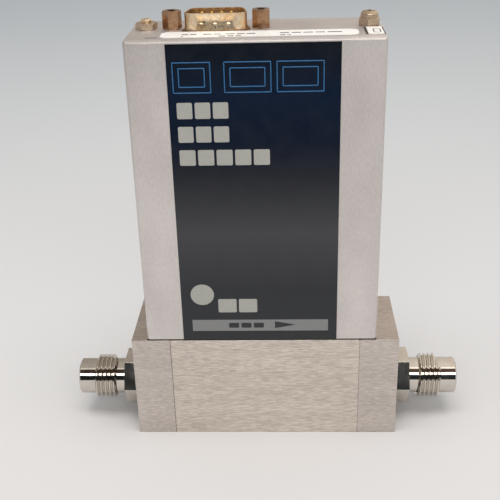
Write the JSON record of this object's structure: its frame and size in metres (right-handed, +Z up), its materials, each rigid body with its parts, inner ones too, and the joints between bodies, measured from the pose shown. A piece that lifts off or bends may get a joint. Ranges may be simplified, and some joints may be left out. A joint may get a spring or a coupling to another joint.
{
  "type": "thermal mass flow controller",
  "caption": "Slim thermal gas flow controller: steel base with a male face-seal fitting at each end, and a tall folded cover with a D connector on top.",
  "frame": {"origin": "centre of the base's underside, midway between the two fitting faces", "axes": "+X along the gas flow from inlet to outlet, +Z up, -Y towards the labelled front"},
  "size_m": [0.124, 0.0286, 0.1323],
  "materials": {
    "satin_stainless": "satin-ground stainless steel",
    "polished_stainless": "electropolished stainless steel",
    "screw_steel": "stainless steel",
    "seal_nickel": "nickel",
    "filter_metal": "sintered stainless steel",
    "case_sheet": "satin anodised sheet",
    "yellow_zinc": "yellow chromate plate",
    "copper_zinc": "worn yellow chromate plate",
    "gold_pins": "gold plate",
    "black_insert": "moulded thermoplastic",
    "front_print": "printed film",
    "white_label": "white film",
    "magnetic_steel": "magnetic stainless steel",
    "copper_wire": "enamelled copper wire",
    "bobbin_nylon": "moulded nylon",
    "yoke_steel": "zinc-plated steel",
    "disc_elastomer": "fluoroelastomer",
    "foam": "insulating foam",
    "board_green": "solder-masked glass epoxy",
    "chip_black": "moulded epoxy",
    "capacitor_sleeve": "shrink sleeve",
    "trim_blue": "moulded plastic",
    "plug_white": "moulded nylon",
    "flex_film": "polyimide film",
    "lead_red": "insulated wire"
  },
  "bodies": {
    "housing": {"main_block": "satin_stainless", "inlet_end_block": "satin_stainless", "outlet_end_block": "satin_stainless", "inlet_block_screws": "screw_steel", "outlet_block_screws": "screw_steel", "inlet_fitting": "polished_stainless", "outlet_fitting": "polished_stainless", "fitting_seals": "seal_nickel", "end_block_seals": "seal_nickel", "inlet_filter": "filter_metal", "bypass_element": "polished_stainless", "bypass_retainer": "screw_steel", "sensor_flange": "satin_stainless", "sensor_tube": "polished_stainless", "sensor_windings": "copper_wire", "sensor_insulation": "foam", "sensor_can": "yoke_steel", "sensor_seals": "seal_nickel", "sensor_screws": "screw_steel", "sensor_flex": "flex_film", "valve_seat": "polished_stainless", "valve_spring": "screw_steel", "valve_sleeve": "satin_stainless", "valve_core": "magnetic_steel", "coil_bobbin": "bobbin_nylon", "coil_winding": "copper_wire", "coil_yoke": "yoke_steel", "valve_nut": "screw_steel", "valve_seal": "seal_nickel", "valve_screws": "screw_steel", "valve_leads": "lead_red", "board_bracket": "yoke_steel", "bracket_screws": "screw_steel", "bracket_nut": "screw_steel", "main_board": "board_green", "board_screws": "screw_steel", "board_nuts": "screw_steel", "connector_board": "board_green", "board_chips": "chip_black", "board_capacitors": "capacitor_sleeve", "trim_pots": "trim_blue", "board_plugs": "plug_white", "connector_shell": "yellow_zinc", "connector_insulator": "black_insert", "connector_pins": "gold_pins", "jack_screws": "copper_zinc", "jack_nuts": "copper_zinc", "cover": "case_sheet", "cover_washers": "screw_steel", "cover_stud": "yellow_zinc", "cover_nut": "yellow_zinc", "cover_spacer": "copper_zinc", "cover_screw": "yellow_zinc", "front_label": "front_print", "top_label": "white_label", "corner_label": "white_label"},
    "plunger": {"valve_plunger": "magnetic_steel", "valve_disc": "disc_elastomer"}
  },
  "joints": [
    {"name": "plunger_lift", "type": "slide", "parent": "housing", "child": "plunger", "axis": [0, 0, 1], "range_m": [0, 0.0003], "stiffness_N_per_m": 300, "springref_m": -0.002, "deforming": ["valve_spring"]}
  ]
}
